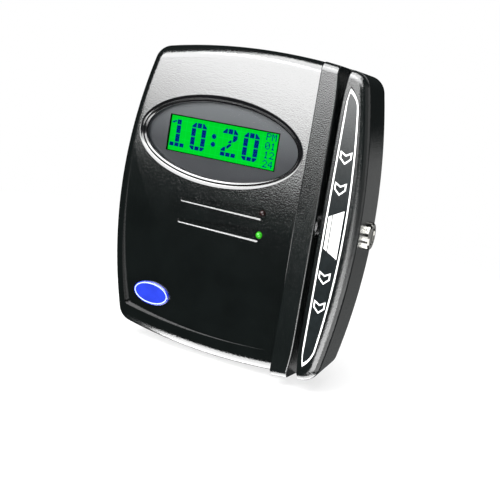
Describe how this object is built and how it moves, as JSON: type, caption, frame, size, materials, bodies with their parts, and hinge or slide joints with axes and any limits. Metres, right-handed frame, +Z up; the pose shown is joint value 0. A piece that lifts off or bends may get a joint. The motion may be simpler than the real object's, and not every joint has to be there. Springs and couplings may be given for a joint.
{
  "type": "wall time clock",
  "caption": "Wall-mounted time clock with a lit display, a side slot for swiping badges, status lights and a lockable hinged case.",
  "frame": {"origin": "middle of the back face that lies on the wall", "axes": "+Z up, +Y into the wall, +X to the right as seen from the front"},
  "size_m": [0.1613, 0.0413, 0.1828],
  "materials": {
    "cover_plastic": "semi-gloss",
    "bezel_plastic": "gloss",
    "plate_plastic": "fine texture",
    "lens_clear": "smoked, polished",
    "film_print": "printed film",
    "decal_print": "printed film",
    "lcd_metal": "satin black",
    "lcd_face": "lit display",
    "light_guide": "frosted",
    "circuit_board": "solder mask",
    "black_part": "moulded",
    "can_metal": "brushed sleeve",
    "cell_steel": "plated",
    "screw_steel": "zinc plated",
    "lock_chrome": "polished",
    "head_metal": "lapped",
    "flex_film": "polyimide film",
    "ribbon_grey": "extruded",
    "led_red": "clear tinted",
    "led_green": "lit",
    "badge_blue": "glossy"
  },
  "bodies": {
    "wall_base": {"wall_plate": "plate_plastic", "cam_keeper": "screw_steel", "keeper_screw": "screw_steel"},
    "case": {"front_cover": "cover_plastic", "hinge_pins": "screw_steel", "display_bezel": "bezel_plastic", "display_lens": "lens_clear", "lens_film": "film_print", "lcd_frame": "lcd_metal", "lcd_glass": "lcd_face", "lcd_backlight": "light_guide", "lcd_board": "circuit_board", "lcd_screws": "screw_steel", "lcd_header": "black_part", "main_board": "circuit_board", "board_screws": "screw_steel", "processor_chip": "black_part", "memory_chips": "black_part", "capacitors": "can_metal", "buzzer": "black_part", "battery_holder": "black_part", "backup_battery": "cell_steel", "network_jack": "black_part", "power_jack": "black_part", "led_board": "circuit_board", "led_board_screws": "screw_steel", "led_header": "black_part", "status_led_upper": "led_red", "status_led_lower": "led_green", "badge": "badge_blue", "reader_guide": "cover_plastic", "swipe_rail": "cover_plastic", "slot_base": "cover_plastic", "rail_decal": "decal_print", "reader_screws": "screw_steel", "seam_screws": "screw_steel", "head_spring": "screw_steel", "reader_board": "circuit_board", "reader_chip": "black_part", "head_flex": "flex_film", "reader_ribbon": "ribbon_grey", "lock_cylinder": "lock_chrome", "lock_nut": "lock_chrome"},
    "lock_core": {"lock_plug": "lock_chrome", "lock_cam": "screw_steel", "cam_screw": "screw_steel"},
    "read_head": {"read_head": "head_metal"}
  },
  "joints": [
    {"name": "case_swing", "type": "hinge", "parent": "wall_base", "child": "case", "pos_m": [-0.0733, -0.005, 0], "axis": [0, 0, -1], "range_deg": [0, 80]},
    {"name": "lock_turn", "type": "hinge", "parent": "case", "child": "lock_core", "pos_m": [0.07688, -0.0125, -0.002], "axis": [0.9881, 0.1538, 0], "range_deg": [0, 90]},
    {"name": "head_press", "type": "slide", "parent": "case", "child": "read_head", "axis": [-1, 0, 0], "range_m": [0, 0.0008], "stiffness_N_per_m": 300, "deforming": ["head_spring"]}
  ]
}
